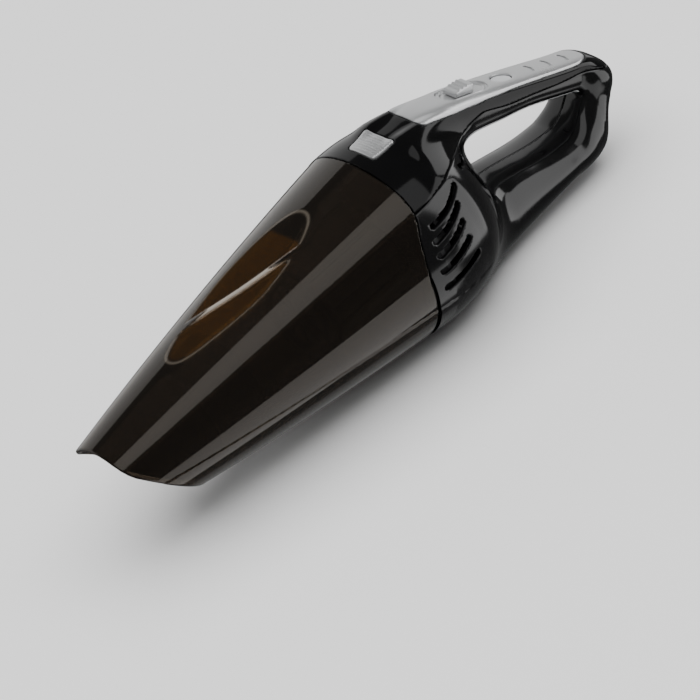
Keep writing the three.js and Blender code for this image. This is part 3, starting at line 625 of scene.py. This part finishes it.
def mark_scoop(obj):
    """Marks where light is painted on the cup: a lighter brown glow on the scoop's floor, and highlights on
    its rim and the crest of its ridge.
    """
    flat = np.empty(len(obj.data.vertices) * 3)
    obj.data.vertices.foreach_get("co", flat)
    x, y, z = (flat.reshape(-1, 3) * 1000 - ORIGIN).T
    depth = cup_radius(x) - np.hypot(y, z)
    below = scoop(x, y, z)
    floor_only = smooth_step(0.2, 0.5, depth) * smooth_step(3.0, 2.6, below)
    marks = {
        # Painted glow over the scoop's floor, stopping short of its rear end, which is left dark as painted
        # shade.
        "painted_floor_glow": floor_only * (1 - smooth_step(*WINDOW_END_X, x)),
        # Painted highlight along the scoop's rim.
        "rim": smooth_step(0.3, 0.12, np.abs(depth)) * smooth_step(0.3, 0.12, np.abs(below)),
        # Painted highlight along the crest of the ridge, on the scoop's floor.
        "crest": floor_only * smooth_step(0.3, 0.8, ridge(x, y)) * smooth_step(0.6, 0.2, below),
    }
    for name, amount in marks.items():
        obj.data.attributes.new(name, "FLOAT", "POINT").data.foreach_set("value", amount)


GLOSS = moulded("piano_black", (0.0018, 0.0018, 0.0019), (0.003, 0.003, 0.0033), 0.06, 0.10, shine=0.24)
SATIN = moulded("satin_black", (0.002, 0.002, 0.0022), (0.0035, 0.0035, 0.0038), 0.1, 0.15, 0.03)
SILVER = moulded("satin_silver", (0.50, 0.505, 0.51), (0.58, 0.585, 0.59), 0.26, 0.34, 0.05, 0.75)
LENS = moulded("frosted_lens", (0.42, 0.43, 0.44), (0.52, 0.53, 0.54), 0.2, 0.3)
SMOKE = smoked()

# ---- Fine pieces, meshed at these grid steps ----
STEP = 0.9
CUP_STEP = 0.78
SMALL = 0.4
cup = piece("smoked_cup", dust_cup, (-216, -58, -58), (4, 58, 58), CUP_STEP, SMOKE, "dust_cup",
            "cup")
mark_scoop(cup)
piece("gloss_upper_shell", upper_shell, (-10, -58, -12), (172, 58, 60), STEP, GLOSS, "upper_shell",
      "housing")
piece("left_body_half", housing(-1), (-12, -59, -60), (172, 3, 40), STEP, SATIN, "left_housing",
      "housing")
piece("right_body_half", housing(1), (-12, -3, -60), (172, 59, 40), STEP, SATIN, "right_housing",
      "housing")
piece("silver_trim", handle_trim, (42, -18, -6), (162, 18, 60), SMALL, SILVER, "handle_trim",
      "housing")
piece("silver_release_button", release_button, (-8, -14, 41), (28, 14, 60), SMALL, SILVER, "release_button",
      "button")
piece("ridged_slider", switch_knob, (66, -8, 28), (92, 8, 56), SMALL, SILVER, "switch_knob",
      "knob")
piece("oval_lens", indicator_lens, (96, -7, 20), (114, 7, 38), SMALL, LENS, "indicator_lens",
      "housing")

# ---- Finishes for the inner pieces that keep their shape ----
SLOT_LOOKS = {  # dark and light colour, lowest and highest roughness, grain, metallic
    "duct_plastic": ((0.015, 0.012, 0.011), (0.03, 0.025, 0.022), 0.3, 0.42, 0.1, 0.0),
    "filter_plastic": ((0.012, 0.012, 0.012), (0.02, 0.02, 0.02), 0.4, 0.55, 0.2, 0.0),
    "filter_paper": ((0.55, 0.54, 0.50), (0.72, 0.71, 0.67), 0.85, 0.95, 0.8, 0.0),
    "screen_metal": ((0.35, 0.36, 0.37), (0.5, 0.51, 0.52), 0.3, 0.4, 0.1, 1.0),
    "seal_rubber": ((0.02, 0.02, 0.02), (0.035, 0.035, 0.035), 0.7, 0.85, 0.4, 0.0),
    "inner_plastic": ((0.012, 0.012, 0.013), (0.02, 0.02, 0.021), 0.42, 0.55, 0.25, 0.0),
    "circuit_board": ((0.015, 0.10, 0.04), (0.02, 0.14, 0.06), 0.35, 0.5, 0.15, 0.0),
    "spring_steel": ((0.45, 0.46, 0.47), (0.58, 0.59, 0.60), 0.2, 0.3, 0.05, 1.0),
    "fan_metal": ((0.50, 0.51, 0.53), (0.62, 0.63, 0.65), 0.3, 0.42, 0.1, 1.0),
    "motor_steel": ((0.42, 0.43, 0.44), (0.55, 0.56, 0.57), 0.25, 0.38, 0.08, 1.0),
    "copper": ((0.55, 0.24, 0.12), (0.70, 0.33, 0.17), 0.25, 0.38, 0.08, 1.0),
    "bronze": ((0.50, 0.35, 0.15), (0.62, 0.45, 0.2), 0.35, 0.5, 0.15, 1.0),
    "carbon": ((0.02, 0.02, 0.02), (0.035, 0.035, 0.035), 0.6, 0.75, 0.3, 0.0),
    "cell_wrap": ((0.02, 0.17, 0.22), (0.03, 0.22, 0.28), 0.3, 0.4, 0.05, 0.0),
    "nickel": ((0.55, 0.55, 0.54), (0.66, 0.66, 0.65), 0.2, 0.32, 0.08, 1.0),
    "red_insulation": ((0.35, 0.01, 0.01), (0.45, 0.02, 0.015), 0.4, 0.5, 0.1, 0.0),
    "black_insulation": ((0.01, 0.01, 0.01), (0.018, 0.018, 0.018), 0.4, 0.5, 0.1, 0.0),
}
slot_of = {s["node"]: s["material_slot"] for s in frame["record"]["subparts"]}
finishes = {slot: moulded(slot, *look) for slot, look in SLOT_LOOKS.items()}
for node, obj in frame["nodes"].items():
    if not obj.hide_render:
        obj.data.materials.clear()
        obj.data.materials.append(finishes[slot_of[node]])

# ---- Floor, light and camera ----
TO_CAMERA = Vector((-0.410, -0.688, 0.598)).normalized()
CAMERA_RIGHT = Vector((0.678, -0.669, -0.305)).normalized()
CAMERA_UP = TO_CAMERA.cross(CAMERA_RIGHT)
SUBJECT = Vector((-0.0341, -0.0251, 0.0354))
CAMERA_DISTANCE = 14.0
PICTURE_WIDTH = 0.3684  # metres across the picture at the subject
SENSOR_WIDTH = 36
CUP_SLOPE = 0.13  # how far the cup's side leans toward the nozzle
BAND_CENTRE = Vector((SUBJECT.x, 0, 0.056))
SIDE_CENTRE = Vector((0.05, 0, 0.07))


def floor():
    bpy.ops.mesh.primitive_grid_add(x_subdivisions=8, y_subdivisions=8, size=14)
    ground = bpy.context.object
    ground.name = "studio_floor"
    material, tree, shader = new_material("pale_floor", (0.9, 0.9, 0.9), 0.7)
    slow = add_noise(tree, 2.0)
    tint = tint_between(tree, slow.outputs["Fac"], (0.89, 0.89, 0.89), (0.91, 0.91, 0.91))
    tree.links.new(tint, shader.inputs["Base Color"])
    shader.inputs["Specular IOR Level"].default_value = 0.1
    ground.data.materials.append(material)
    ground.visible_glossy = False


def softbox(name, centre, across, up, size_x, size_y, radiance):
    """A soft rectangular light facing the subject, as bright as radiance wherever it is mirrored."""
    data = bpy.data.lights.new(name, "AREA")
    data.shape = "RECTANGLE"
    data.size = size_x
    data.size_y = size_y
    data.energy = radiance * math.pi * size_x * size_y
    light = bpy.data.objects.new(name, data)
    turn = Matrix((across, up, across.cross(up))).transposed()
    light.matrix_world = Matrix.Translation(centre) @ turn.to_4x4()
    bpy.context.collection.objects.link(light)
    return light


def camera():
    data = bpy.data.cameras.new("camera")
    data.sensor_width = SENSOR_WIDTH
    data.lens = SENSOR_WIDTH * CAMERA_DISTANCE / PICTURE_WIDTH
    shot = bpy.data.objects.new("camera", data)
    turn = Matrix((CAMERA_RIGHT, CAMERA_UP, TO_CAMERA)).transposed()
    shot.matrix_world = Matrix.Translation(SUBJECT + TO_CAMERA * CAMERA_DISTANCE) @ turn.to_4x4()
    bpy.context.collection.objects.link(shot)
    bpy.context.scene.camera = shot


def mirrored(normal_angle):
    """Where the camera's view goes, seen along the X axis, off the cup's side that faces normal_angle."""
    normal = Vector((-CUP_SLOPE, -math.cos(normal_angle), math.sin(normal_angle))).normalized()
    bounce = normal * (2 * normal.dot(TO_CAMERA)) - TO_CAMERA
    return Vector((0, bounce.y, bounce.z)).normalized()


def band_light(name, low_degrees, high_degrees, radiance, distance=1.3, length=3.4):
    """A long strip that shows as a band along the cup between two angles of its side."""
    low = BAND_CENTRE + mirrored(math.radians(low_degrees)) * distance
    high = BAND_CENTRE + mirrored(math.radians(high_degrees)) * distance
    up = (high - low).normalized()
    softbox(name, (low + high) / 2, Vector((1, 0, 0)), up, length, (high - low).length, radiance)


def side_light(name, around, endwise, radiance, distance=1.3):
    """A panel seen from the body between two angles around the X axis and two toward +X."""
    turn = math.radians(sum(around) / 2)
    lean = math.radians(sum(endwise) / 2)
    ring = Vector((0, -math.cos(turn), math.sin(turn)))
    toward = Vector((math.sin(lean), *(ring.yz * math.cos(lean))))
    up = Vector((0, math.sin(turn), math.cos(turn)))
    across = up.cross(toward)
    size = 2 * distance * math.tan(math.radians(endwise[1] - endwise[0]) / 2)
    size_up = 2 * distance * math.cos(lean) * math.tan(math.radians(around[1] - around[0]) / 2)
    light = softbox(name, SIDE_CENTRE + toward * distance, across, up, size, size_up, radiance)
    light.visible_diffuse = False


def dim_world():
    world = bpy.data.worlds.new("studio")
    world.use_nodes = True
    world.node_tree.nodes["Background"].inputs["Color"].default_value = (0.12, 0.12, 0.12, 1)
    bpy.context.scene.world = world


floor()
camera()
dim_world()
overhead = softbox("overhead", Vector((0, 0, 2.4)), Vector((1, 0, 0)), Vector((0, 1, 0)), 3.6, 3.6, 3.0)
overhead.visible_glossy = False
band_light("upper_band", 40, 56, 1.25, length=1.8)
band_light("lower_band", -17, 7, 1.25, length=1.25)
band_light("under_glow", -44, -27, 0.15, length=1.1)
band_light("far_glow", 92, 124, 0.75, 1.6, 4.4)
side_light("side_glow", (-48, 45), (30, 64), 2.2)
side_light("rear_glow", (46, 104), (52, 80), 3.4)
